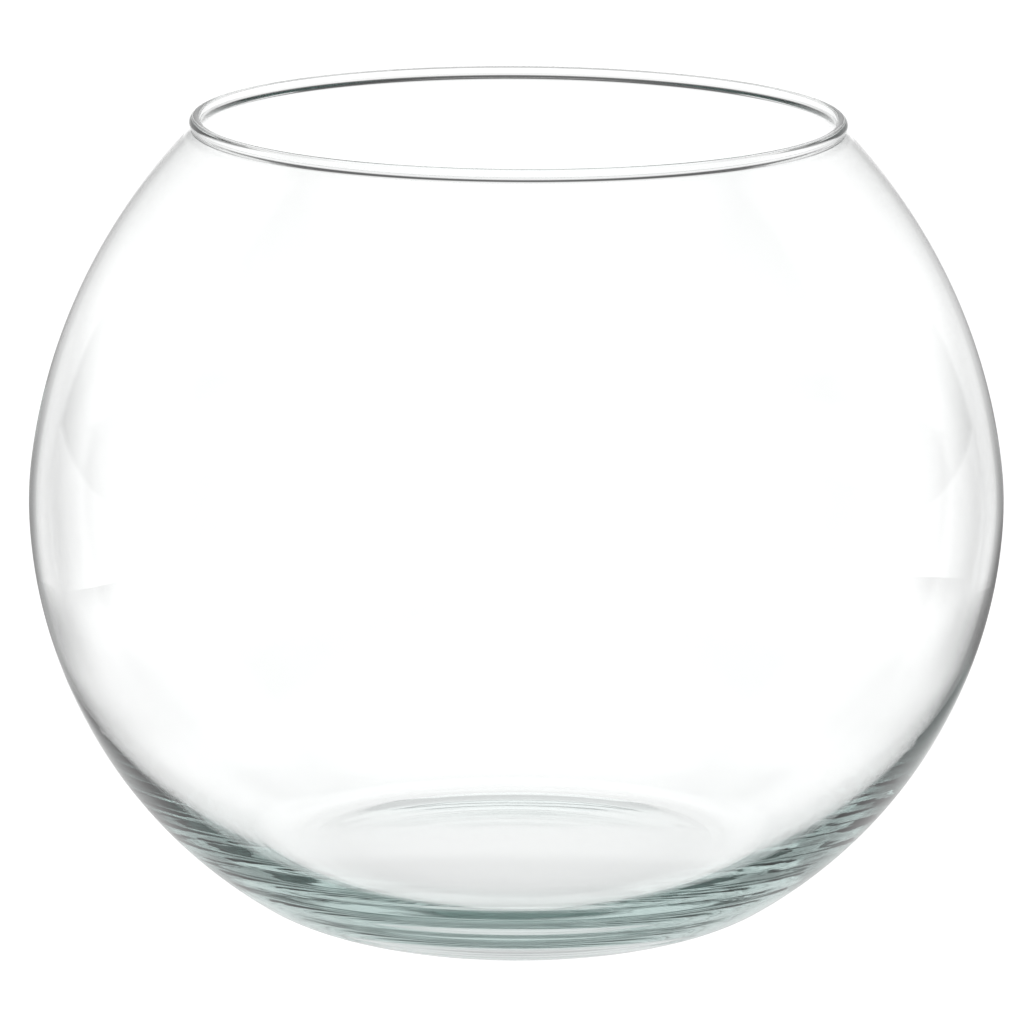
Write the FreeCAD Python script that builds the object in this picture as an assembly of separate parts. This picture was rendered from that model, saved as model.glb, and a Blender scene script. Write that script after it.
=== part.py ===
import FreeCAD, Part
import math
import os

# Rose bowl vase: one piece of clear glass, blown with a thick base and a fire-polished rim bead.
# Millimetres, +Z up. Z is the axis of the bowl, and the origin is the middle of the plane that
# the foot ring stands on. Half of the section is drawn in the XZ plane and turned about Z.
# Every curve of the section is an arc that runs smoothly into the next one.

# Outside of the bowl
bowl_diameter = 200.0  # at its widest
overall_height = 163.2  # from the table to the top of the rim bead
mouth_diameter = 130.6  # across the middle of the rim bead
foot_diameter = 92.0  # outer edge of the flat ring that the bowl stands on
belly_height = 83.4  # of the widest place above the table
belly_arc_radius = 70.0  # of the section at the widest place
belly_arc_rise = 9.8  # how far that arc runs above the widest place
belly_arc_drop = 2.2  # and below it
heel_radius = 21.0  # of the section where the side turns under

# Thickness of the glass
wall_at_belly = 1.4
wall_at_mouth = 1.1
even_wall_bottom = 56.0  # height above the table below which the wall grows thicker
floor_thickness = 6.0  # from the table to the inner floor
floor_inset = 2.6  # edge of the flat inner floor, inwards from the edge of the foot ring
floor_corner_radius = 29.0  # of the inside where the floor turns up into the side

# Rim bead, turned up a little from the end of the sloping wall
bead_diameter = 2.5
bead_lift = 0.45  # of its middle, square to the outer face of the wall
bead_root_radius = 0.4  # of the hollow between the bead and the outer face
lip_turn_radius = 2.5  # of the inside where the wall turns up into the bead

# Underside
foot_ring_width = 3.0
foot_ring_round = 2.0  # of the ring's inner edge
foot_hollow_depth = 1.6  # of the underside at the axis

# Worked out from those
bowl_radius = bowl_diameter / 2
foot_radius = foot_diameter / 2
bead_radius = bead_diameter / 2
bead_centre = FreeCAD.Vector(mouth_diameter / 2, 0, overall_height - bead_radius)
belly_centre = FreeCAD.Vector(bowl_radius - belly_arc_radius, 0, belly_height)
up = FreeCAD.Vector(0, 0, 1)
axis_foot = FreeCAD.Vector(0, 0, 0)


def unit(vector):
    """The vector at length one."""
    return FreeCAD.Vector(vector).normalize()


def on_circle(centre, radius, towards):
    """The point of a circle that lies from its centre towards another point."""
    return centre + unit(towards - centre) * radius


def touching_circle(start, inwards, target, target_radius):
    """Centre and radius of the circle that leaves start square to inwards and touches a target circle.

    It goes round the target where target_radius is positive, and lies against its outside where
    target_radius is negative.
    """
    gap = start - target
    radius = (target_radius**2 - gap.dot(gap)) / (2 * (gap.dot(inwards) + target_radius))
    return start + inwards * radius, radius


def nearest_crossing(centre_a, radius_a, centre_b, radius_b, towards):
    """Where two circles cross, at the crossing nearer to a given point."""
    across = centre_b - centre_a
    distance = across.Length
    along = (distance**2 + radius_a**2 - radius_b**2) / (2 * distance)
    aside = math.sqrt(radius_a**2 - along**2)
    middle = centre_a + unit(across) * along
    square = unit(across).cross(FreeCAD.Vector(0, 1, 0)) * aside
    return min((middle + square, middle - square), key=lambda point: (point - towards).Length)


class Section:
    """An outline in the XZ plane, drawn edge after edge from a first point."""

    def __init__(self, first):
        """Starts the outline at its first point."""
        self.first = first
        self.last = first
        self.edges = []

    def line_to(self, end):
        """Adds a straight edge."""
        self.edges.append(Part.LineSegment(self.last, end).toShape())
        self.last = end

    def arc_to(self, end, centre, by_way_of=None):
        """Adds an arc about a centre: the short way round, or by way of a point that is on it."""
        middle = by_way_of or on_circle(centre, (end - centre).Length, (self.last + end) / 2)
        self.edges.append(Part.Arc(self.last, middle, end).toShape())
        self.last = end

    def face(self):
        """Closes the outline and fills it."""
        self.line_to(self.first)
        return Part.Face(Part.Wire(self.edges))


def belly_points(thickness):
    """Top and bottom of the belly arc, at a depth inside the outer face."""
    points = []
    for height in (belly_arc_rise, -belly_arc_drop):
        reach = math.sqrt(belly_arc_radius**2 - height**2)
        outside = belly_centre + FreeCAD.Vector(reach, 0, height)
        points.append(on_circle(belly_centre, belly_arc_radius - thickness, outside))
    return points


def side_circle():
    """Centre and radius of the outer face between the heel and the belly, and the heel's centre."""
    belly_bottom = belly_points(0)[1]
    heel_centre = FreeCAD.Vector(foot_radius, 0, heel_radius)
    inwards = unit(belly_centre - belly_bottom)
    side_centre, side_radius = touching_circle(belly_bottom, inwards, heel_centre, heel_radius)
    return side_centre, side_radius, heel_centre


def draw_underside(section):
    """The hollow under the base, the flat ring round it, and the heel."""
    ring_edge = foot_radius - foot_ring_width
    round_centre = FreeCAD.Vector(ring_edge, 0, foot_ring_round)
    hollow_centre, hollow_radius = touching_circle(section.last, -up, round_centre, -foot_ring_round)
    section.arc_to(on_circle(hollow_centre, hollow_radius, round_centre), hollow_centre)
    section.arc_to(FreeCAD.Vector(ring_edge, 0, 0), round_centre)
    section.line_to(FreeCAD.Vector(foot_radius, 0, 0))
    return hollow_radius


def draw_outside(section):
    """The heel, the lower side, the belly and the shoulder, up to the root of the bead."""
    belly_top, belly_bottom = belly_points(0)
    side_centre, side_radius, heel_centre = side_circle()
    section.arc_to(on_circle(side_centre, side_radius, heel_centre), heel_centre)
    section.arc_to(belly_bottom, side_centre)
    section.arc_to(belly_top, belly_centre)
    inwards = unit(belly_centre - belly_top)
    shoulder_centre, shoulder_radius = touching_circle(belly_top, inwards, bead_centre, -bead_lift)
    root_centre = nearest_crossing(
        shoulder_centre,
        shoulder_radius + bead_root_radius,
        bead_centre,
        bead_radius + bead_root_radius,
        belly_top,
    )
    section.arc_to(on_circle(shoulder_centre, shoulder_radius, root_centre), shoulder_centre)
    section.arc_to(on_circle(bead_centre, bead_radius, root_centre), root_centre)
    return side_radius, shoulder_radius


def draw_inside(section):
    """Round the bead, then down the inside of the wall to the middle of the floor."""
    belly_top, belly_bottom = belly_points(wall_at_belly)
    inwards = unit(belly_centre - belly_top)
    mouth_depth = bead_lift + wall_at_mouth
    shoulder_centre, shoulder_radius = touching_circle(belly_top, inwards, bead_centre, -mouth_depth)
    turn_centre = nearest_crossing(
        shoulder_centre,
        shoulder_radius + lip_turn_radius,
        bead_centre,
        lip_turn_radius - bead_radius,
        belly_top,
    )
    bead_top = bead_centre + up * bead_radius
    section.arc_to(on_circle(turn_centre, lip_turn_radius, bead_centre), bead_centre, by_way_of=bead_top)
    section.arc_to(on_circle(shoulder_centre, shoulder_radius, turn_centre), turn_centre)
    section.arc_to(belly_top, shoulder_centre)
    section.arc_to(belly_bottom, belly_centre)
    outer_centre, outer_radius, _ = side_circle()
    drop = outer_centre.z - even_wall_bottom
    outwards = unit(FreeCAD.Vector(math.sqrt(outer_radius**2 - drop**2), 0, -drop))
    even_end = outer_centre + outwards * (outer_radius - wall_at_belly)
    section.arc_to(even_end, outer_centre)
    floor_edge = FreeCAD.Vector(foot_radius - floor_inset, 0, floor_thickness)
    corner_centre = floor_edge + up * floor_corner_radius
    side_centre, side_radius = touching_circle(even_end, -outwards, corner_centre, floor_corner_radius)
    section.arc_to(on_circle(side_centre, side_radius, corner_centre), side_centre)
    section.arc_to(floor_edge, corner_centre)
    section.line_to(up * floor_thickness)
    return side_radius, shoulder_radius


def make_glass_bowl():
    """The whole vase: its section turned once about Z."""
    section = Section(up * foot_hollow_depth)
    hollow_radius = draw_underside(section)
    outer_side, outer_shoulder = draw_outside(section)
    inner_side, inner_shoulder = draw_inside(section)
    print(f"outside: side radius {outer_side:.1f}, shoulder {outer_shoulder:.1f}, hollow {hollow_radius:.0f}")
    print(f"inside: side radius {inner_side:.1f}, shoulder {inner_shoulder:.1f}")
    full_turn = 360
    bowl = section.face().revolve(axis_foot, up, full_turn)
    return bowl.Solids[0] if bowl.Solids else Part.Solid(Part.Shell(bowl.Faces))


def main():
    """Makes the one piece of the vase and writes its file."""
    os.makedirs("parts", exist_ok=True)
    glass_bowl = make_glass_bowl()
    glass_bowl.exportStep("parts/glass_bowl.step")
    box = glass_bowl.BoundBox
    print(f"glass_bowl: valid {glass_bowl.isValid()}, volume {glass_bowl.Volume / 1000:.1f} cm3")
    print(f"box {box.XLength:.2f} x {box.YLength:.2f} x {box.ZLength:.2f} mm, lowest {box.ZMin:.3f}")


main()
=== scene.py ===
import logging
import math
from dataclasses import dataclass, field
from enum import Enum

import bpy
from mathutils import Matrix, Vector, noise


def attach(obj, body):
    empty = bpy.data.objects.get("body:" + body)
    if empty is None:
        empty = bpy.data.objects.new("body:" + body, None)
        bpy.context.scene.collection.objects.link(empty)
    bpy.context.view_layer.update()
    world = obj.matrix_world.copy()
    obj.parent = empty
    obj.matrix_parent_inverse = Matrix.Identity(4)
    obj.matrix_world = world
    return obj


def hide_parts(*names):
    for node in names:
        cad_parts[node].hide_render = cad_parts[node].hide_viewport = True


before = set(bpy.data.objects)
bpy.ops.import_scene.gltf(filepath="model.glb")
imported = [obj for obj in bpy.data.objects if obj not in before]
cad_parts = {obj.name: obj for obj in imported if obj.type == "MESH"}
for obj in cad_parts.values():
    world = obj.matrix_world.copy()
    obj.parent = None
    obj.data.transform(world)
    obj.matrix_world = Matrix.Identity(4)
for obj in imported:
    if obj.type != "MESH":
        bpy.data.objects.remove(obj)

# Rose bowl vase: one piece of clear blown glass. Metres, +Z up, the foot stands on z = 0.
# The section of the bowl repeats the sizes of the construction model. Over it lie the things
# that blowing into a mould leaves in real glass: fine ripples and streaks where the hot glass
# met the cooler mould, and a wall of uneven thickness.

MM = 0.001
BODY = "root"
BOWL_NODE = "glass_bowl"
LOG = logging.getLogger("rose_bowl")
WHITE = (1.0, 1.0, 1.0, 1.0)
# Rays that a surface has reflected are told from the others by a step over their count.
FIRST_REFLECTION = (0.0, 1.0)
# A Mix node's sockets for colours share their names with others, so they go by their places.
MIX_FIRST_COLOUR = 6
MIX_SECOND_COLOUR = 7
MIX_COLOUR_RESULT = 2

Tree = bpy.types.NodeTree
Socket = bpy.types.NodeSocket


class Side(Enum):
    """Which face of the glass a stretch of the section belongs to."""

    UNDERSIDE = "underside"
    OUTSIDE = "outside"
    BEAD = "bead"
    INSIDE = "inside"


@dataclass(frozen=True)
class Ring:
    """One ring of the bowl: a point of the section and what the ripples need to know of it.

    Args:
        radius: distance from the axis.
        height: height above the table.
        side: the face of the glass that the ring lies on.
        along: length of the section from the axis of the underside to this ring.
    """

    radius: float
    height: float
    side: Side
    along: float = 0.0


def unit(vector: Vector) -> Vector:
    """Returns the vector at length one."""
    return vector.normalized()


def on_circle(centre: Vector, radius: float, towards: Vector) -> Vector:
    """Returns the point of a circle that lies from its centre towards another point."""
    return centre + unit(towards - centre) * radius


def touching_circle(
    start: Vector, inwards: Vector, target: Vector, target_radius: float
) -> tuple[Vector, float]:
    """Finds the circle that leaves a point square to a direction and touches a target circle.

    Args:
        start: the point that the circle leaves.
        inwards: unit direction from there to the circle's centre.
        target: centre of the target circle.
        target_radius: positive where the circle goes round the target, negative where it
            lies against the target's outside.

    Returns:
        The centre and the radius of the circle.
    """
    gap = start - target
    radius = (target_radius**2 - gap.dot(gap)) / (2 * (gap.dot(inwards) + target_radius))
    return start + inwards * radius, radius


def nearest_crossing(
    centre_a: Vector, radius_a: float, centre_b: Vector, radius_b: float, towards: Vector
) -> Vector:
    """Finds where two circles cross.

    Args:
        centre_a: centre of the first circle.
        radius_a: its radius.
        centre_b: centre of the second circle.
        radius_b: its radius.
        towards: the crossing nearer to this point is taken.

    Returns:
        The crossing.
    """
    across = centre_b - centre_a
    along = (across.length_squared + radius_a**2 - radius_b**2) / (2 * across.length)
    aside = math.sqrt(radius_a**2 - along**2)
    middle = centre_a + unit(across) * along
    square = unit(across).orthogonal() * aside
    return min((middle + square, middle - square), key=lambda point: (point - towards).length)


def at_height(centre: Vector, radius: float, height: float) -> Vector:
    """Returns the outer point of a circle at a height."""
    return Vector((centre.x + math.sqrt(radius**2 - (height - centre.y) ** 2), height))


@dataclass
class BowlSection:
    """The sizes of the bowl, and its section as rings from the underside to the inner floor.

    The lengths are those of the construction model, in metres.
    """

    bowl_diameter: float = 200.0 * MM
    overall_height: float = 163.2 * MM
    mouth_diameter: float = 130.6 * MM
    foot_diameter: float = 92.0 * MM
    belly_height: float = 83.4 * MM
    belly_arc_radius: float = 70.0 * MM
    belly_arc_rise: float = 9.8 * MM
    belly_arc_drop: float = 2.2 * MM
    heel_radius: float = 21.0 * MM
    wall_at_belly: float = 1.4 * MM
    wall_at_mouth: float = 1.1 * MM
    even_wall_bottom: float = 56.0 * MM
    floor_thickness: float = 6.0 * MM
    floor_inset: float = 2.6 * MM
    floor_corner_radius: float = 29.0 * MM
    bead_diameter: float = 2.5 * MM
    bead_lift: float = 0.45 * MM
    bead_root_radius: float = 0.4 * MM
    lip_turn_radius: float = 2.5 * MM
    foot_ring_width: float = 3.0 * MM
    foot_ring_round: float = 2.0 * MM
    foot_hollow_depth: float = 1.6 * MM
    wavy_until: float = 44.0 * MM
    wavy_step: float = 0.55 * MM
    floor_step: float = 1.8 * MM
    coarse_step: float = 2.6 * MM
    bead_step: float = 0.24 * MM
    rings: list[Ring] = field(default_factory=list)

    def run(
        self, end: Vector, centre: Vector | None, side: Side, step: float, long_way: bool = False
    ) -> None:
        """Adds the rings of one arc or straight stretch, from the last ring to an end point.

        Args:
            end: where the stretch ends, as radius and height.
            centre: centre of the arc, or None for a straight stretch.
            side: the face of the glass that it lies on.
            step: the greatest distance between rings.
            long_way: whether the arc goes the long way round.
        """
        last = self.rings[-1]
        start = Vector((last.radius, last.height))
        if centre is None:
            length = (end - start).length
            count = max(1, math.ceil(length / step))
            points = [start.lerp(end, index / count) for index in range(1, count + 1)]
        else:
            first = start - centre
            turn = first.angle_signed(end - centre, 0.0) * -1
            if long_way:
                turn -= math.copysign(math.tau, turn)
            length = abs(turn) * first.length
            count = max(1, math.ceil(length / step))
            points = []
            for index in range(1, count + 1):
                arm = first.copy()
                arm.rotate(Matrix.Rotation(turn * index / count, 2))
                points.append(centre + arm)
        for index, point in enumerate(points, start=1):
            along = last.along + length * index / len(points)
            self.rings.append(Ring(point.x, point.y, side, along))

    def side_circle(self) -> tuple[Vector, float]:
        """Finds the outer face between the heel and the belly.

        Returns:
            The centre and the radius of its arc.
        """
        centre, _, bottom = self.belly_points(0.0)
        heel_centre = Vector((self.foot_diameter / 2, self.heel_radius))
        return touching_circle(bottom, unit(centre - bottom), heel_centre, self.heel_radius)

    def belly_points(self, thickness: float) -> tuple[Vector, Vector, Vector]:
        """Finds the belly arc at a depth inside the outer face.

        Args:
            thickness: the depth.

        Returns:
            The centre of the arc, its top and its bottom.
        """
        centre = Vector((self.bowl_diameter / 2 - self.belly_arc_radius, self.belly_height))
        ends = []
        for height in (self.belly_arc_rise, -self.belly_arc_drop):
            reach = math.sqrt(self.belly_arc_radius**2 - height**2)
            outside = centre + Vector((reach, height))
            ends.append(on_circle(centre, self.belly_arc_radius - thickness, outside))
        return centre, ends[0], ends[1]

    def bead_centre(self) -> Vector:
        """Returns the middle of the rim bead's section."""
        return Vector((self.mouth_diameter / 2, self.overall_height - self.bead_diameter / 2))

    def draw_underside(self) -> None:
        """Adds the hollow under the base, the rounded edge of the foot ring and its flat."""
        foot_radius = self.foot_diameter / 2
        ring_edge = foot_radius - self.foot_ring_width
        round_centre = Vector((ring_edge, self.foot_ring_round))
        start = Vector((0.0, self.foot_hollow_depth))
        down = Vector((0.0, -1.0))
        centre, radius = touching_circle(start, down, round_centre, -self.foot_ring_round)
        self.rings = [Ring(0.0, self.foot_hollow_depth, Side.UNDERSIDE)]
        self.run(on_circle(centre, radius, round_centre), centre, Side.UNDERSIDE, self.floor_step)
        self.run(Vector((ring_edge, 0.0)), round_centre, Side.UNDERSIDE, self.wavy_step)
        self.run(Vector((foot_radius, 0.0)), None, Side.UNDERSIDE, self.floor_step)

    def draw_outside(self) -> None:
        """Adds the heel, the lower side, the belly and the shoulder, up to the root of the bead."""
        belly_centre, belly_top, belly_bottom = self.belly_points(0.0)
        heel_centre = Vector((self.foot_diameter / 2, self.heel_radius))
        centre, radius = self.side_circle()
        self.run(on_circle(centre, radius, heel_centre), heel_centre, Side.OUTSIDE, self.wavy_step)
        self.run(at_height(centre, radius, self.wavy_until), centre, Side.OUTSIDE, self.wavy_step)
        self.run(belly_bottom, centre, Side.OUTSIDE, self.coarse_step)
        self.run(belly_top, belly_centre, Side.OUTSIDE, self.coarse_step)
        inwards = unit(belly_centre - belly_top)
        bead = self.bead_centre()
        bead_radius = self.bead_diameter / 2
        centre, radius = touching_circle(belly_top, inwards, bead, -self.bead_lift)
        root = nearest_crossing(
            centre, radius + self.bead_root_radius, bead, bead_radius + self.bead_root_radius, belly_top
        )
        self.run(on_circle(centre, radius, root), centre, Side.OUTSIDE, self.coarse_step)
        self.run(on_circle(bead, bead_radius, root), root, Side.BEAD, self.bead_step)

    def draw_inside(self) -> None:
        """Adds the bead, then the inner face down to the middle of the floor."""
        belly_centre, belly_top, belly_bottom = self.belly_points(self.wall_at_belly)
        bead = self.bead_centre()
        inwards = unit(belly_centre - belly_top)
        mouth_depth = self.bead_lift + self.wall_at_mouth
        centre, radius = touching_circle(belly_top, inwards, bead, -mouth_depth)
        lip_turn = self.lip_turn_radius
        turn = nearest_crossing(
            centre, radius + lip_turn, bead, lip_turn - self.bead_diameter / 2, belly_top
        )
        self.run(on_circle(turn, lip_turn, bead), bead, Side.BEAD, self.bead_step, long_way=True)
        self.run(on_circle(centre, radius, turn), turn, Side.BEAD, self.bead_step)
        self.run(belly_top, centre, Side.INSIDE, self.coarse_step)
        self.run(belly_bottom, belly_centre, Side.INSIDE, self.coarse_step)
        side_centre, side_radius = self.side_circle()
        outwards = unit(at_height(side_centre, side_radius, self.even_wall_bottom) - side_centre)
        even_end = side_centre + outwards * (side_radius - self.wall_at_belly)
        self.run(even_end, side_centre, Side.INSIDE, self.coarse_step)
        floor_edge = Vector((self.foot_diameter / 2 - self.floor_inset, self.floor_thickness))
        corner_centre = floor_edge + Vector((0.0, self.floor_corner_radius))
        centre, radius = touching_circle(even_end, outwards * -1, corner_centre, self.floor_corner_radius)
        self.run(at_height(centre, radius, self.wavy_until), centre, Side.INSIDE, self.coarse_step)
        self.run(on_circle(centre, radius, corner_centre), centre, Side.INSIDE, self.wavy_step)
        self.run(floor_edge, corner_centre, Side.INSIDE, self.wavy_step)
        self.run(Vector((0.0, self.floor_thickness)), None, Side.INSIDE, self.floor_step)

    def draw(self) -> list[Ring]:
        """Draws the whole section.

        Returns:
            The rings, from the axis of the underside to the axis of the inner floor.
        """
        self.draw_underside()
        self.draw_outside()
        self.draw_inside()
        return self.rings


def new_object(
    name: str, points: list[tuple[float, float, float]], faces: list[tuple[int, ...]]
) -> bpy.types.Object:
    """Makes an object and puts it into the scene.

    Args:
        name: of the object and its mesh.
        points: the corners.
        faces: the corners of each face, by number.

    Returns:
        The object.
    """
    mesh = bpy.data.meshes.new(name)
    mesh.from_pydata(points, [], faces)
    mesh.update()
    made = bpy.data.objects.new(name, mesh)
    bpy.context.scene.collection.objects.link(made)
    return made


def bare_material(name: str) -> bpy.types.Material:
    """Makes a material with no nodes in it.

    Args:
        name: of the material.

    Returns:
        The material.
    """
    material = bpy.data.materials.new(name)
    material.use_nodes = True
    material.node_tree.nodes.clear()
    return material


def smooth(low: float, high: float, value: float) -> float:
    """Finds the place of a value on a soft step.

    Args:
        low: where the step gives 0.
        high: where it gives 1. It may be the smaller one.
        value: the value.

    Returns:
        The step's result.
    """
    share = min(1.0, max(0.0, (value - low) / (high - low)))
    return share * share * (3 - 2 * share)


@dataclass(frozen=True)
class ChillRipples:
    """The waves that the cooler mould leaves in the lower part of the glass.

    Args:
        height: how far the strongest waves stand out of the smooth face.
        pitch: distance between waves, measured along the section.
        length: how long a wave is, measured round the bowl.
        starts: heights between which the waves set in outside, above the foot.
        inner_starts: heights between which they set in inside, above the floor.
        ends: heights between which they die out again.
        lean: how much higher they reach on the right than on the average.
        finer: how many times finer the second set of waves is.
        finer_share: its height as a share of the first.
        dimples: height of the faint unevenness of the inner floor and the underside.
        grain: how wide a dimple is.
    """

    height: float = 0.009 * MM
    pitch: float = 2.4 * MM
    length: float = 60.0 * MM
    starts: tuple[float, float] = (1.0 * MM, 8.0 * MM)
    inner_starts: tuple[float, float] = (8.0 * MM, 20.0 * MM)
    ends: tuple[float, float] = (14.0 * MM, 25.0 * MM)
    lean: float = 5.0 * MM
    finer: float = 2.1
    finer_share: float = 0.4
    dimples: float = 0.006 * MM
    grain: float = 7.0 * MM

    def strength(self, ring: Ring, angle: float) -> float:
        """Finds how strong the waves are at one point.

        Args:
            ring: the ring that the point is on.
            angle: the point's place round the bowl, in radians.

        Returns:
            The share of their full height.
        """
        if ring.side in (Side.BEAD, Side.UNDERSIDE):
            return 0.0
        height = ring.height - self.lean * math.cos(angle) * min(1.0, ring.height / self.ends[0])
        starts = self.inner_starts if ring.side is Side.INSIDE else self.starts
        return smooth(*starts, ring.height) * smooth(self.ends[1], self.ends[0], height)

    def offset(self, ring: Ring, angle: float, seed: float) -> float:
        """Finds how far the surface stands out at one point.

        Args:
            ring: the ring that the point is on.
            angle: the point's place round the bowl, in radians.
            seed: a number that sets one face's waves apart from another's.

        Returns:
            The offset along the outward normal, in metres.
        """
        share = self.strength(ring, angle)
        if share > 0.0:
            reach = ring.radius / self.length
            across = math.cos(angle) * reach
            back = math.sin(angle) * reach + seed
            place = Vector((across, back, ring.along / self.pitch))
            coarse = noise.noise(place, noise_basis="PERLIN_ORIGINAL")
            fine = noise.noise(place * self.finer, noise_basis="PERLIN_ORIGINAL")
            return self.height * share * (coarse + fine * self.finer_share)
        off_the_table = self.dimples * 4
        floor = ring.side is Side.INSIDE and ring.height < self.inner_starts[0]
        hollow = ring.side is Side.UNDERSIDE and ring.height > off_the_table
        if floor or hollow:
            place = Vector((math.cos(angle), math.sin(angle), 0.0)) * (ring.radius / self.grain)
            place.z = seed
            return self.dimples * noise.noise(place, noise_basis="PERLIN_ORIGINAL")
        return 0.0


@dataclass(frozen=True)
class UnevenWall:
    """How the inside lies off the axis lower down, so that the right-hand wall is the thicker one.

    Args:
        shift: how far the inside lies to the left.
        full_below: height below which it has the whole shift.
        none_above: height above which it has none.
    """

    shift: float = 0.35 * MM
    full_below: float = 30.0 * MM
    none_above: float = 85.0 * MM

    def sideways(self, ring: Ring) -> float:
        """Finds how far a ring moves.

        Args:
            ring: the ring.

        Returns:
            The distance along X.
        """
        if ring.side is not Side.INSIDE:
            return 0.0
        return -self.shift * smooth(self.none_above, self.full_below, ring.height)


def soft_step(tree: Tree, value: Socket, edge: tuple[float, float], before: float, after: float) -> Socket:
    """Maps a value through one soft step.

    Args:
        tree: the node tree to build in.
        value: what is mapped.
        edge: the values at which the step starts and ends.
        before: what it gives up to its start.
        after: what it gives from its end on.

    Returns:
        The mapped value.
    """
    step = tree.nodes.new("ShaderNodeMapRange")
    step.interpolation_type = "SMOOTHSTEP"
    step.inputs["From Min"].default_value = edge[0]
    step.inputs["From Max"].default_value = edge[1]
    step.inputs["To Min"].default_value = before
    step.inputs["To Max"].default_value = after
    tree.links.new(value, step.inputs["Value"])
    return step.outputs["Result"]


def chosen(tree: Tree, share: Socket, first: Socket | float, second: Socket | float) -> Socket:
    """Mixes two values.

    Args:
        tree: the node tree to build in.
        share: 0 takes the first value, 1 the second.
        first: a value or a socket.
        second: a value or a socket.

    Returns:
        The mixed value.
    """
    mix = tree.nodes.new("ShaderNodeMix")
    mix.data_type = "FLOAT"
    tree.links.new(share, mix.inputs["Factor"])
    for name, given in (("A", first), ("B", second)):
        if isinstance(given, float):
            mix.inputs[name].default_value = given
        else:
            tree.links.new(given, mix.inputs[name])
    return mix.outputs["Result"]


def combined(tree: Tree, operation: str, first: Socket, second: Socket | float) -> Socket:
    """Works out one value from two.

    Args:
        tree: the node tree to build in.
        operation: what the math node does.
        first: a socket.
        second: a value or a socket.

    Returns:
        The result.
    """
    math_node = tree.nodes.new("ShaderNodeMath")
    math_node.operation = operation
    tree.links.new(first, math_node.inputs[0])
    if isinstance(second, float):
        math_node.inputs[1].default_value = second
    else:
        tree.links.new(second, math_node.inputs[1])
    return math_node.outputs["Value"]


def clear_where(tree: Tree, mask: Socket, shader: Socket) -> None:
    """Makes a shader the material's surface, and clear where a mask is 1.

    Args:
        tree: the material's node tree.
        mask: 0 shows the shader, 1 leaves the surface clear.
        shader: what the surface shows.
    """
    clear = tree.nodes.new("ShaderNodeBsdfTransparent")
    both = tree.nodes.new("ShaderNodeMixShader")
    tree.links.new(mask, both.inputs["Fac"])
    tree.links.new(shader, both.inputs[1])
    tree.links.new(clear.outputs["BSDF"], both.inputs[2])
    output = tree.nodes.new("ShaderNodeOutputMaterial")
    tree.links.new(both.outputs["Shader"], output.inputs["Surface"])


@dataclass(frozen=True)
class Unevenness:
    """The cloudy pattern that the glass and the table top both use, each with its own grain.

    Args:
        name: of the node group.
        detail: how many finer patterns lie over the clouds.
        roughness: how strong those are.
        spread: raw values that become the least and the most.
    """

    name: str = "cloudy_unevenness"
    detail: float = 1.0
    roughness: float = 0.55
    spread: tuple[float, float] = (0.35, 0.65)

    def group(self) -> Tree:
        """Makes the shared node group at its first use.

        Returns:
            The group.
        """
        made = bpy.data.node_groups.get(self.name)
        if made:
            return made
        tree = bpy.data.node_groups.new(self.name, "ShaderNodeTree")
        face = tree.interface
        face.new_socket("Place", in_out="INPUT", socket_type="NodeSocketVector")
        for label in ("Grain", "Least", "Most"):
            face.new_socket(label, in_out="INPUT", socket_type="NodeSocketFloat")
        for label in ("Value", "Height"):
            face.new_socket(label, in_out="OUTPUT", socket_type="NodeSocketFloat")
        nodes = tree.nodes
        links = tree.links
        given = nodes.new("NodeGroupInput")
        result = nodes.new("NodeGroupOutput")
        cloud = nodes.new("ShaderNodeTexNoise")
        cloud.inputs["Detail"].default_value = self.detail
        cloud.inputs["Roughness"].default_value = self.roughness
        links.new(given.outputs["Place"], cloud.inputs["Vector"])
        links.new(given.outputs["Grain"], cloud.inputs["Scale"])
        spread = nodes.new("ShaderNodeMapRange")
        spread.inputs["From Min"].default_value = self.spread[0]
        spread.inputs["From Max"].default_value = self.spread[1]
        links.new(cloud.outputs["Fac"], spread.inputs["Value"])
        links.new(given.outputs["Least"], spread.inputs["To Min"])
        links.new(given.outputs["Most"], spread.inputs["To Max"])
        links.new(spread.outputs["Result"], result.inputs["Value"])
        links.new(cloud.outputs["Fac"], result.inputs["Height"])
        return tree

    def use(
        self, material: bpy.types.Material, place: Socket, grain: float, least: float, most: float
    ) -> bpy.types.Node:
        """Places the group in a material.

        Args:
            material: where it goes.
            place: the coordinates that it is laid out on.
            grain: how many clouds there are to a metre.
            least: the smallest value.
            most: the greatest value.

        Returns:
            The group's node.
        """
        node = material.node_tree.nodes.new("ShaderNodeGroup")
        node.node_tree = self.group()
        material.node_tree.links.new(place, node.inputs["Place"])
        node.inputs["Grain"].default_value = grain
        node.inputs["Least"].default_value = least
        node.inputs["Most"].default_value = most
        return node


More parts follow.
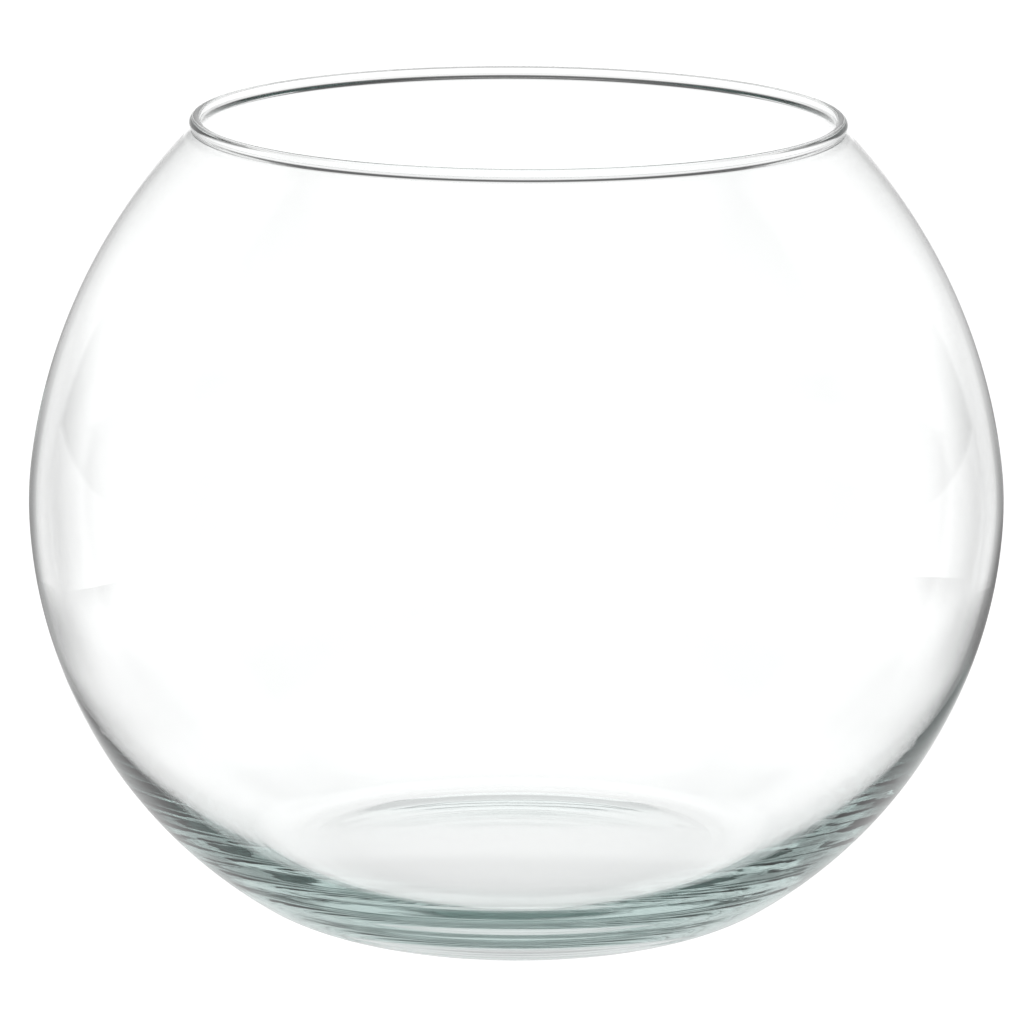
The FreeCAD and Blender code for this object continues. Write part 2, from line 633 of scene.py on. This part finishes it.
@dataclass(frozen=True)
class ClearGlass:
    """Clear soda-lime glass with a faint green cast where it is thick.

    Args:
        ior: refractive index.
        absorption: loss per metre of glass in red, green and blue.
        density: scale that the loss is given to Blender on, greater than any loss.
        roughest: roughness of the faint water film at its dullest.
        film_grain: how many clouds of that film there are to a metre.
        tint: colour of the surface where the film is thickest.
        streak_pitch: distance between the fine streaks of the lower glass.
        streak_length: their length, round the bowl.
        streak_depth: their depth.
    """

    ior: float = 1.52
    absorption: tuple[float, float, float] = (4.3, 3.0, 3.2)
    density: float = 20.0
    roughest: float = 0.006
    film_grain: float = 45.0
    tint: tuple[float, float, float, float] = (0.992, 0.998, 0.996, 1.0)
    streak_pitch: float = 1.1 * MM
    streak_length: float = 16.0 * MM
    streak_depth: float = 0.003 * MM

    def build(self) -> bpy.types.Material:
        """Makes the glass.

        Returns:
            The material.
        """
        material = bare_material("clear_blown_glass")
        nodes = material.node_tree.nodes
        links = material.node_tree.links
        output = nodes.new("ShaderNodeOutputMaterial")
        glass = nodes.new("ShaderNodeBsdfPrincipled")
        glass.inputs["Metallic"].default_value = 0.0
        glass.inputs["IOR"].default_value = self.ior
        glass.inputs["Transmission Weight"].default_value = 1.0
        links.new(glass.outputs["BSDF"], output.inputs["Surface"])
        place = nodes.new("ShaderNodeTexCoord").outputs["Object"]
        film = Unevenness().use(material, place, self.film_grain, 0.0, self.roughest)
        links.new(film.outputs["Value"], glass.inputs["Roughness"])
        tint = nodes.new("ShaderNodeMix")
        tint.data_type = "RGBA"
        tint.inputs[MIX_FIRST_COLOUR].default_value = WHITE
        tint.inputs[MIX_SECOND_COLOUR].default_value = self.tint
        links.new(film.outputs["Height"], tint.inputs["Factor"])
        links.new(tint.outputs[MIX_COLOUR_RESULT], glass.inputs["Base Color"])
        links.new(self.streaks(material, place), glass.inputs["Normal"])
        body = nodes.new("ShaderNodeVolumeAbsorption")
        left = (1 - loss / self.density for loss in self.absorption)
        body.inputs["Color"].default_value = (*left, 1.0)
        body.inputs["Density"].default_value = self.density
        links.new(body.outputs["Volume"], output.inputs["Volume"])
        return material

    def streaks(self, material: bpy.types.Material, place: Socket) -> Socket:
        """Lays fine streaks round the lower glass.

        Args:
            material: the glass.
            place: its object coordinates.

        Returns:
            The normal with the streaks in it.
        """
        nodes = material.node_tree.nodes
        links = material.node_tree.links
        split = nodes.new("ShaderNodeSeparateXYZ")
        links.new(place, split.inputs["Vector"])
        along = nodes.new("ShaderNodeAttribute")
        along.attribute_name = "along"
        round_about = nodes.new("ShaderNodeCombineXYZ")
        links.new(split.outputs["X"], round_about.inputs["X"])
        links.new(split.outputs["Y"], round_about.inputs["Y"])
        narrowed = self.streak_length / self.streak_pitch
        up_and_down = combined(material.node_tree, "MULTIPLY", along.outputs["Fac"], narrowed)
        links.new(up_and_down, round_about.inputs["Z"])
        laid_out = round_about.outputs["Vector"]
        drawn = Unevenness().use(material, laid_out, 1 / self.streak_length, 0.0, 1.0)
        chill = nodes.new("ShaderNodeAttribute")
        chill.attribute_name = "chill"
        height = drawn.outputs["Height"]
        depth = combined(material.node_tree, "MULTIPLY", height, chill.outputs["Fac"])
        bump = nodes.new("ShaderNodeBump")
        bump.inputs["Distance"].default_value = self.streak_depth
        links.new(depth, bump.inputs["Height"])
        return bump.outputs["Normal"]


@dataclass
class GlassBowl:
    """The vase: the only piece, made as one closed skin turned about the axis.

    Args:
        section: the sizes.
        ripples: the waves over them.
        wall: how the inside lies off the axis.
        finish: the glass.
        columns: number of points in each ring.
        inner_seed: sets the waves inside apart from those outside.
    """

    section: BowlSection = field(default_factory=BowlSection)
    ripples: ChillRipples = field(default_factory=ChillRipples)
    wall: UnevenWall = field(default_factory=UnevenWall)
    finish: ClearGlass = field(default_factory=ClearGlass)
    columns: int = 216
    inner_seed: float = 31.7

    def build(self) -> bpy.types.Object:
        """Builds the bowl's mesh.

        Returns:
            The new object.
        """
        rings = self.section.draw()
        on_axis = 1e-6
        points: list[tuple[float, float, float]] = []
        along: list[float] = []
        chill: list[float] = []
        for index, ring in enumerate(rings):
            sideways = self.wall.sideways(ring)
            if ring.radius < on_axis:
                points.append((sideways, 0.0, ring.height))
                along.append(ring.along)
                chill.append(0.0)
                continue
            before = rings[index - 1]
            after = rings[min(index + 1, len(rings) - 1)]
            outwards = unit(Vector((after.height - before.height, before.radius - after.radius)))
            seed = self.inner_seed if ring.side is Side.INSIDE else 0.0
            for column in range(self.columns):
                angle = math.tau * column / self.columns
                offset = self.ripples.offset(ring, angle, seed)
                radius = ring.radius + outwards.x * offset
                height = ring.height + outwards.y * offset
                right = radius * math.cos(angle) + sideways
                points.append((right, radius * math.sin(angle), height))
                along.append(ring.along)
                chill.append(self.ripples.strength(ring, angle))
        bowl = new_object("blown_glass_bowl", points, self.skin(len(rings)))
        mesh = bowl.data
        for name, values in (("along", along), ("chill", chill)):
            mesh.attributes.new(name, "FLOAT", "POINT").data.foreach_set("value", values)
        mesh.polygons.foreach_set("use_smooth", [True] * len(mesh.polygons))
        mesh.update()
        return bowl

    def skin(self, ring_count: int) -> list[tuple[int, ...]]:
        """Lists the faces between the rings.

        Args:
            ring_count: number of rings, the first and the last of which are single points.

        Returns:
            The corners of each face.
        """
        columns = self.columns
        last = 1 + (ring_count - 2) * columns
        faces: list[tuple[int, ...]] = []
        for column in range(columns):
            beside = (column + 1) % columns
            faces.append((0, 1 + beside, 1 + column))
            for ring in range(ring_count - 3):
                low = 1 + ring * columns
                high = low + columns
                faces.append((low + column, low + beside, high + beside, high + column))
            top = 1 + (ring_count - 3) * columns
            faces.append((last, top + column, top + beside))
        return faces

    def dress(self, bowl: bpy.types.Object) -> None:
        """Gives the bowl its glass, hangs it on its body and hides the construction node that it takes the
        place of.

        Args:
            bowl: the object that build returned.
        """
        bowl.data.materials.append(self.finish.build())
        bowl.visible_diffuse = False
        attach(bowl, BODY)
        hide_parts(BOWL_NODE)


@dataclass(frozen=True)
class Surroundings:
    """What the glass shows of the studio.

    A white backdrop stands behind the bowl with a grey flag on each side of it, the walls further
    round are pale, and lights hang overhead. Above the backdrop, and in front, the room is dark.
    Heights are sines of the elevation, and the directions round about are cosines of the angle
    off straight behind.

    Args:
        backdrop: brightness of the white backdrop.
        flag: brightness of the grey flags.
        beside: brightness of the pale walls.
        front: brightness of the room in front, up to the same height, in reflections.
        doorway: brightness in front where it is seen straight through the glass, from behind.
        overhead: brightness of the lights overhead.
        room_middle: brightness of the dark room straight over the backdrop.
        room_behind: its brightness to both sides of that.
        room_left: its brightness on the left and in front.
        room_right: its brightness on the right and in front.
        room_bottom: heights between which the dark room sets in.
        room_lift: how much higher that is over the pale walls.
        room_top: heights between which it ends.
        side_edge: sines of the angle to the right between which its left gives way to its right.
        middle_edge: directions between which the room grows lighter towards its middle.
        backdrop_edge: directions between which the flags give way to the backdrop.
        flag_edge: directions between which the pale walls give way to the flags.
        room_edge: directions between which the side rooms give way to the room behind.
        front_edge: directions between which the rooms in front give way to the pale walls.
        doorway_edge: directions between which the doorway ends.
        soft_light: brightness that the table top is lit with.
    """

    backdrop: float = 0.96
    flag: float = 0.6
    beside: float = 0.8
    front: float = 0.2
    doorway: float = 0.96
    overhead: float = 0.92
    room_middle: float = 0.128
    room_behind: float = 0.024
    room_left: float = 0.112
    room_right: float = 0.04
    room_bottom: tuple[float, float] = (0.18, 0.36)
    room_lift: float = 0.42
    room_top: tuple[float, float] = (0.72, 0.91)
    side_edge: tuple[float, float] = (-0.3, 0.3)
    middle_edge: tuple[float, float] = (0.90, 0.99)
    backdrop_edge: tuple[float, float] = (0.988, 0.997)
    flag_edge: tuple[float, float] = (0.70, 0.97)
    room_edge: tuple[float, float] = (0.15, 0.60)
    front_edge: tuple[float, float] = (-0.10, 0.35)
    doorway_edge: tuple[float, float] = (-0.45, -0.10)
    soft_light: float = 0.72

    def build(self) -> None:
        """Makes the world: white for the camera, and the studio for the glass."""
        world = bpy.data.worlds.new("studio")
        bpy.context.scene.world = world
        world.use_nodes = True
        tree = world.node_tree
        nodes = tree.nodes
        nodes.clear()
        output = nodes.new("ShaderNodeOutputWorld")
        background = nodes.new("ShaderNodeBackground")
        background.inputs["Color"].default_value = WHITE
        tree.links.new(background.outputs["Background"], output.inputs["Surface"])
        rays = nodes.new("ShaderNodeLightPath")
        studio = self.studio(tree, rays.outputs["Glossy Depth"])
        plain = chosen(tree, rays.outputs["Is Diffuse Ray"], studio, self.soft_light)
        seen = chosen(tree, rays.outputs["Is Camera Ray"], plain, 1.0)
        tree.links.new(seen, background.inputs["Strength"])

    def directions(self, tree: Tree) -> tuple[Socket, Socket, Socket]:
        """Splits the direction that is looked in.

        Args:
            tree: the world's node tree.

        Returns:
            How far it points to the right, how nearly straight behind it lies, and its height.
        """
        nodes = tree.nodes
        direction = nodes.new("ShaderNodeTexCoord").outputs["Generated"]
        split = nodes.new("ShaderNodeSeparateXYZ")
        tree.links.new(direction, split.inputs["Vector"])
        level = nodes.new("ShaderNodeVectorMath")
        level.operation = "MULTIPLY"
        level.inputs[1].default_value = (1.0, 1.0, 0.0)
        tree.links.new(direction, level.inputs[0])
        about = nodes.new("ShaderNodeVectorMath")
        about.operation = "NORMALIZE"
        tree.links.new(level.outputs["Vector"], about.inputs[0])
        round_about = nodes.new("ShaderNodeSeparateXYZ")
        tree.links.new(about.outputs["Vector"], round_about.inputs["Vector"])
        return split.outputs["X"], round_about.outputs["Y"], split.outputs["Z"]

    def studio(self, tree: Tree, reflections: Socket) -> Socket:
        """Lays out the studio.

        Args:
            tree: the world's node tree.
            reflections: how many reflections a ray has been through.

        Returns:
            The brightness that the glass shows in each direction.
        """
        right, behind, height = self.directions(tree)
        sides = soft_step(tree, behind, self.flag_edge, self.beside, self.flag)
        middle = soft_step(tree, behind, self.backdrop_edge, 0.0, 1.0)
        round_back = chosen(tree, middle, sides, self.backdrop)
        not_in_front = soft_step(tree, behind, self.front_edge, 0.0, 1.0)
        low = chosen(tree, not_in_front, self.front, round_back)
        aside = soft_step(tree, right, self.side_edge, self.room_left, self.room_right)
        straight = soft_step(tree, behind, self.room_edge, 0.0, 1.0)
        back = soft_step(tree, behind, self.middle_edge, self.room_behind, self.room_middle)
        room = chosen(tree, straight, aside, back)
        over_walls = soft_step(tree, behind, self.flag_edge, self.room_lift, 0.0)
        lift = combined(tree, "MULTIPLY", over_walls, not_in_front)
        lifted = combined(tree, "SUBTRACT", height, lift)
        above = soft_step(tree, lifted, self.room_bottom, 0.0, 1.0)
        top = soft_step(tree, height, self.room_top, 0.0, 1.0)
        studio = chosen(tree, top, chosen(tree, above, low, room), self.overhead)
        through = soft_step(tree, reflections, FIRST_REFLECTION, 1.0, 0.0)
        in_front = soft_step(tree, behind, self.doorway_edge, 1.0, 0.0)
        return chosen(tree, combined(tree, "MULTIPLY", in_front, through), studio, self.doorway)


@dataclass(frozen=True)
class StudioFloor:
    """The pale table top that the bowl stands on.

    As the glass shows it, the table carries painted shade: a painted shadow under and near the bowl,
    painted shade of flags beside it and in front, and a painted sheen that is light at a slant and
    darker from steeply above. Distances behind the axis are negative in front of it. Slants run from
    0 straight above to 1 along the table.

    Args:
        radius: of the disc.
        columns: number of its sides.
        sunk: how far it lies under the foot, so that the two never share a face.
        shadow_under_foot: painted shadow: brightness of the table under the base, seen straight through
            the glass.
        shadow_near_bowl: painted shadow: brightness of the table near the bowl, as reflections in the
            glass show it.
        open_table: brightness of the rest, where it is seen at a slant.
        foot_edge: distances from the axis between which the first gives way to the last.
        shade_edge: distances between which the second gives way to the last.
        steep: painted sheen: share of the brightness that is left where the table is seen from steeply
            above.
        slant_edge: slants between which that ends.
        steep_edge: distances from the axis between which it sets in where the table is seen
            straight through the glass. In reflections it is there all over.
        flag_shade: painted shade: share of the light that the flags leave on the table beside the bowl.
        flag_inner: distances from the middle line between which that shade sets in.
        flag_outer: distances between which it ends.
        flags_behind: distances behind the axis between which it sets in where the table is seen
            straight through the glass. In reflections it is there all over.
        flags_slant: slants between which it sets in there.
        front_shade: painted shade: share of the light on the table in front of the bowl, in reflections.
        front_edge: distances behind the axis between which that shade ends.
        colour: of the table top in plain light.
        uneven: how far the colour strays to both sides.
        grain: how many clouds of that there are to a metre.
        glow: added so that the open table comes out white.
    """

    radius: float = 1.6
    columns: int = 96
    sunk: float = 0.05 * MM
    shadow_under_foot: float = 0.99
    shadow_near_bowl: float = 0.72
    open_table: float = 1.2
    foot_edge: tuple[float, float] = (34.0 * MM, 54.0 * MM)
    shade_edge: tuple[float, float] = (95.0 * MM, 170.0 * MM)
    steep: float = 0.38
    slant_edge: tuple[float, float] = (0.12, 0.55)
    steep_edge: tuple[float, float] = (120.0 * MM, 200.0 * MM)
    flag_shade: float = 0.3
    flag_inner: tuple[float, float] = (100.0 * MM, 140.0 * MM)
    flag_outer: tuple[float, float] = (175.0 * MM, 260.0 * MM)
    flags_behind: tuple[float, float] = (50.0 * MM, 120.0 * MM)
    flags_slant: tuple[float, float] = (0.45, 0.62)
    front_shade: float = 0.35
    front_edge: tuple[float, float] = (-210.0 * MM, -65.0 * MM)
    colour: float = 0.8
    uneven: float = 0.01
    grain: float = 25.0
    glow: float = 0.53

    def build(self) -> bpy.types.Object:
        """Makes the floor and dresses it.

        Returns:
            The new object.
        """
        points = [(0.0, 0.0, 0.0)]
        faces = []
        for column in range(self.columns):
            angle = math.tau * column / self.columns
            points.append((self.radius * math.cos(angle), self.radius * math.sin(angle), 0.0))
            faces.append((0, 1 + column, 1 + (column + 1) % self.columns))
        floor = new_object("studio_floor", points, faces)
        floor.location.z = -self.sunk
        floor.data.materials.append(self.finish())
        return floor

    def light_in_glass(self, tree: Tree, place: Socket, reflections: Socket) -> Socket:
        """Lays out the table as the glass shows it, with a painted shadow under and near the bowl,
        painted shade of flags beside it and in front, and a painted sheen.

        Args:
            tree: the material's node tree.
            place: object coordinates.
            reflections: how many reflections a ray has been through.

        Returns:
            The brightness of the table.
        """
        nodes = tree.nodes
        reach = nodes.new("ShaderNodeVectorMath")
        reach.operation = "LENGTH"
        tree.links.new(place, reach.inputs[0])
        distance = reach.outputs["Value"]
        split = nodes.new("ShaderNodeSeparateXYZ")
        tree.links.new(place, split.inputs["Vector"])
        right = split.outputs["X"]
        behind = split.outputs["Y"]
        even = 0.5
        # Painted sheen and painted flag shade follow the slant that the table is seen at.
        sheen = nodes.new("ShaderNodeLayerWeight")
        sheen.inputs["Blend"].default_value = even
        slant = sheen.outputs["Facing"]
        reflected = soft_step(tree, reflections, FIRST_REFLECTION, 0.0, 1.0)

        # Painted shadow: the table is darker under the base and near the bowl.
        under = soft_step(tree, distance, self.foot_edge, self.shadow_under_foot, self.open_table)
        shade = soft_step(tree, distance, self.shade_edge, self.shadow_near_bowl, self.open_table)
        light = chosen(tree, reflected, under, shade)

        # Painted shade of flags on the table beside the bowl.
        aside = combined(tree, "MAXIMUM", right, combined(tree, "MULTIPLY", right, -1.0))
        inner = soft_step(tree, aside, self.flag_inner, 1.0, self.flag_shade)
        outer = soft_step(tree, aside, self.flag_outer, 0.0, 1.0)
        far_back = soft_step(tree, behind, self.flags_behind, 0.0, 1.0)
        along_table = soft_step(tree, slant, self.flags_slant, 0.0, 1.0)
        direct = combined(tree, "MULTIPLY", far_back, along_table)
        flagged = combined(tree, "MAXIMUM", direct, reflected)
        flags = chosen(tree, flagged, 1.0, chosen(tree, outer, inner, 1.0))

        # Painted shade on the table in front of the bowl, in reflections.
        front = soft_step(tree, behind, self.front_edge, self.front_shade, 1.0)
        beside = combined(tree, "MULTIPLY", flags, chosen(tree, reflected, 1.0, front))

        # Painted sheen: darker where the table is seen from steeply above.
        away = soft_step(tree, distance, self.steep_edge, 0.0, 1.0)
        from_above = soft_step(tree, slant, self.slant_edge, self.steep, 1.0)
        steeply = chosen(tree, combined(tree, "MAXIMUM", reflected, away), 1.0, from_above)
        return combined(tree, "MULTIPLY", combined(tree, "MULTIPLY", light, beside), steeply)

    def finish(self) -> bpy.types.Material:
        """Makes the table top: lit for the camera, with painted shade and a painted sheen in the glass,
        clear from below.

        Returns:
            The material.
        """
        material = bare_material("pale_table_top")
        tree = material.node_tree
        nodes = tree.nodes
        links = tree.links
        place = nodes.new("ShaderNodeTexCoord").outputs["Object"]
        rays = nodes.new("ShaderNodeLightPath")
        seen_in_glass = nodes.new("ShaderNodeEmission")
        light = self.light_in_glass(tree, place, rays.outputs["Glossy Depth"])
        links.new(light, seen_in_glass.inputs["Strength"])
        least = self.colour - self.uneven
        most = self.colour + self.uneven
        cloud = Unevenness().use(material, place, self.grain, least, most)
        lit = nodes.new("ShaderNodeBsdfDiffuse")
        links.new(cloud.outputs["Value"], lit.inputs["Color"])
        glow = nodes.new("ShaderNodeEmission")
        glow.inputs["Strength"].default_value = self.glow
        white = nodes.new("ShaderNodeAddShader")
        links.new(lit.outputs["BSDF"], white.inputs[0])
        links.new(glow.outputs["Emission"], white.inputs[1])
        top = nodes.new("ShaderNodeMixShader")
        links.new(rays.outputs["Is Camera Ray"], top.inputs["Fac"])
        links.new(seen_in_glass.outputs["Emission"], top.inputs[1])
        links.new(white.outputs["Shader"], top.inputs[2])
        side = nodes.new("ShaderNodeNewGeometry")
        clear_where(tree, side.outputs["Backfacing"], top.outputs["Shader"])
        return material


@dataclass(frozen=True)
class BentCard:
    """The low card that is bent round the back of the bowl, and that only the glass shows.

    It is white in the middle with a grey flag on each side. Directions are cosines of the angle
    round the bowl from straight behind.

    Args:
        radius: its distance from the axis.
        height: of its upper edge.
        half_width: angle that it reaches to each side of straight behind, in degrees.
        columns: number of its flats.
        white: brightness of its middle.
        flag: brightness of the flags at their inner edges, low down and higher up.
        rise: heights between which the flags grow lighter.
        end: brightness of the flags at their outer edges.
        white_edge: directions between which the flags give way to the white.
        flag_edge: directions between which the flags darken inwards.
        fade: shares of the height between which the upper edge fades out.
    """

    radius: float = 270.0 * MM
    height: float = 190.0 * MM
    half_width: float = 60.0
    columns: int = 40
    white: float = 1.2
    flag: tuple[float, float] = (0.32, 0.72)
    rise: tuple[float, float] = (35.0 * MM, 110.0 * MM)
    end: float = 1.05
    white_edge: tuple[float, float] = (0.86, 0.91)
    flag_edge: tuple[float, float] = (0.55, 0.80)
    fade: tuple[float, float] = (0.7, 1.0)

    def build(self) -> bpy.types.Object:
        """Makes the card, hides it from all but the glass, and dresses it.

        Returns:
            The new object.
        """
        points = []
        faces = []
        for column in range(self.columns + 1):
            angle = math.radians(self.half_width) * (2 * column / self.columns - 1)
            across = math.sin(angle) * self.radius
            back = math.cos(angle) * self.radius
            points += [(across, back, 0.0), (across, back, self.height)]
        for column in range(self.columns):
            first = 2 * column
            faces.append((first, first + 2, first + 3, first + 1))
        card = new_object("bent_card", points, faces)
        card.visible_camera = False
        card.visible_diffuse = False
        card.visible_shadow = False
        card.data.materials.append(self.finish())
        return card

    def finish(self) -> bpy.types.Material:
        """Makes the card's face: white and grey in front, and clear from behind.

        Returns:
            The material.
        """
        material = bare_material("bent_card")
        tree = material.node_tree
        nodes = tree.nodes
        split = nodes.new("ShaderNodeSeparateXYZ")
        tree.links.new(nodes.new("ShaderNodeTexCoord").outputs["Object"], split.inputs["Vector"])
        height = split.outputs["Z"]
        behind = combined(tree, "MULTIPLY", split.outputs["Y"], 1 / self.radius)
        inner = soft_step(tree, height, self.rise, *self.flag)
        outer = soft_step(tree, behind, self.flag_edge, 1.0, 0.0)
        flags = chosen(tree, outer, inner, self.end)
        middle = soft_step(tree, behind, self.white_edge, 0.0, 1.0)
        front = nodes.new("ShaderNodeEmission")
        tree.links.new(chosen(tree, middle, flags, self.white), front.inputs["Strength"])
        upper_edge = (self.fade[0] * self.height, self.fade[1] * self.height)
        faded = soft_step(tree, height, upper_edge, 0.0, 1.0)
        side = nodes.new("ShaderNodeNewGeometry")
        unseen = combined(tree, "MAXIMUM", side.outputs["Backfacing"], faded)
        clear_where(tree, unseen, front.outputs["Emission"])
        return material


@dataclass(frozen=True)
class ProductCamera:
    """The camera, at the photograph's viewing angle.

    Args:
        distance: from the aimed point.
        elevation: above the horizon, in degrees.
        aim_height: of the aimed point above the table.
        aim_side: of the aimed point, along X.
        pixels_per_radian: focal length in pixels of the frame.
        frame_pixels: width of the frame.
        sensor_width: of the camera, in millimetres.
        clips: distances at which it starts and stops seeing.
        roll: turn of the picture's content, clockwise, in degrees.
    """

    distance: float = 1.0
    elevation: float = 13.85
    aim_height: float = 79.74 * MM
    aim_side: float = -0.25 * MM
    pixels_per_radian: float = 4846.8
    frame_pixels: float = 1030.0
    sensor_width: float = 36.0
    clips: tuple[float, float] = (0.01, 20.0)
    roll: float = 0.33

    def build(self) -> bpy.types.Object:
        """Makes the camera and sets it as the scene's own.

        Returns:
            The new object.
        """
        data = bpy.data.cameras.new("product_camera")
        data.sensor_width = self.sensor_width
        data.lens = self.pixels_per_radian / self.frame_pixels * data.sensor_width
        data.clip_start = self.clips[0]
        data.clip_end = self.clips[1]
        camera = bpy.data.objects.new("product_camera", data)
        bpy.context.scene.collection.objects.link(camera)
        tilt = math.radians(self.elevation)
        aim = Vector((self.aim_side, 0.0, self.aim_height))
        camera.location = aim + Vector((0.0, -math.cos(tilt), math.sin(tilt))) * self.distance
        look = (aim - camera.location).to_track_quat("-Z", "Y").to_matrix().to_4x4()
        turn = Matrix.Rotation(math.radians(self.roll), 4, "Z")
        camera.matrix_world = Matrix.Translation(camera.location) @ look @ turn
        bpy.context.scene.camera = camera
        return camera


def let_light_through_glass() -> None:
    """Lets a ray meet as many faces of the glass as it needs to get out of the thick base."""
    reflections = 80
    passes = 40
    cycles = bpy.context.scene.cycles
    cycles.max_bounces = reflections
    cycles.glossy_bounces = reflections
    cycles.transmission_bounces = passes


def main() -> None:
    """Builds the vase and its studio."""
    logging.basicConfig(level=logging.INFO, format="%(message)s")
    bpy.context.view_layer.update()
    bowl_maker = GlassBowl()
    bowl = bowl_maker.build()
    bowl_maker.dress(bowl)
    LOG.info("%s: %d faces", bowl.name, len(bowl.data.polygons))
    StudioFloor().build()
    BentCard().build()
    Surroundings().build()
    ProductCamera().build()
    let_light_through_glass()
    bpy.context.scene.view_settings.view_transform = "Standard"


if __name__ == "__main__":
    main()
